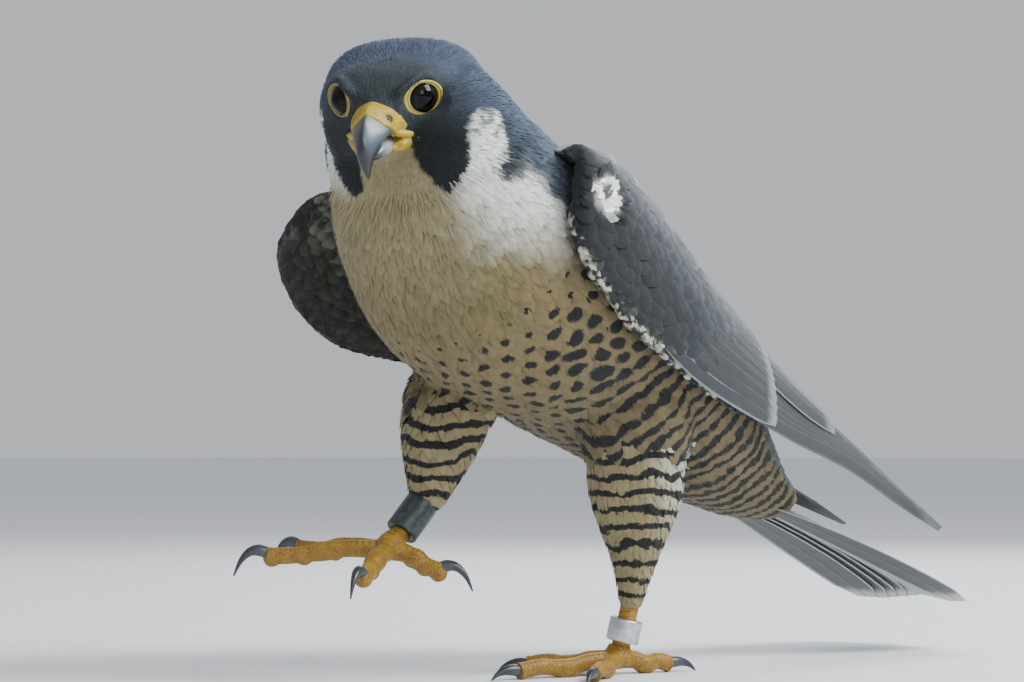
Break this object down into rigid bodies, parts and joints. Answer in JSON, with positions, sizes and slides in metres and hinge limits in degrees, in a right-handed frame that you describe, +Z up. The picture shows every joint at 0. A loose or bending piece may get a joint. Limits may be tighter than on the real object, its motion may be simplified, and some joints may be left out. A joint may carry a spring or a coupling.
{
  "type": "peregrine falcon",
  "caption": "Life-size peregrine falcon in mid-step, standing on one foot with the other raised, its far wing held out.",
  "frame": {"origin": "middle of the part's bounding box in X and Y, on the floor that the standing foot rests on", "axes": "+Z up, -Y the way the body faces, +X to the bird's left, with the tail towards +Y"},
  "size_m": [0.1756, 0.3896, 0.2572],
  "materials": {
    "plumage_slate": "soft feathers, matte, blue-grey to near black",
    "plumage_pale": "soft feathers, matte, cream with dark spots and bars",
    "flight_feathers": "smooth vanes with a slight sheen",
    "bare_skin_yellow": "scaled skin, satin",
    "bill_horn": "smooth horn, satin",
    "claw_horn": "smooth black horn, satin",
    "eye": "wet and glossy, dark brown",
    "band_metal": "satin, plain",
    "band_dark": "satin, plain"
  },
  "bodies": {
    "root": {"head": "plumage_slate", "neck": "plumage_pale", "torso": "plumage_pale", "tail": "flight_feathers", "wing_l": "flight_feathers", "wing_r": "flight_feathers", "thigh_l": "plumage_pale", "thigh_r": "plumage_pale", "tarsus_l": "bare_skin_yellow", "tarsus_r": "bare_skin_yellow", "foot_l": "bare_skin_yellow", "foot_r": "bare_skin_yellow", "claw_inner_l": "claw_horn", "claw_middle_l": "claw_horn", "claw_outer_l": "claw_horn", "claw_hind_l": "claw_horn", "claw_inner_r": "claw_horn", "claw_middle_r": "claw_horn", "claw_outer_r": "claw_horn", "claw_hind_r": "claw_horn", "band_l": "band_metal", "band_r": "band_dark", "eye_l": "eye", "eye_r": "eye", "lid_l": "bare_skin_yellow", "lid_r": "bare_skin_yellow", "cere": "bare_skin_yellow", "bill_upper": "bill_horn", "bill_lower": "bill_horn"}
  },
  "joints": []
}
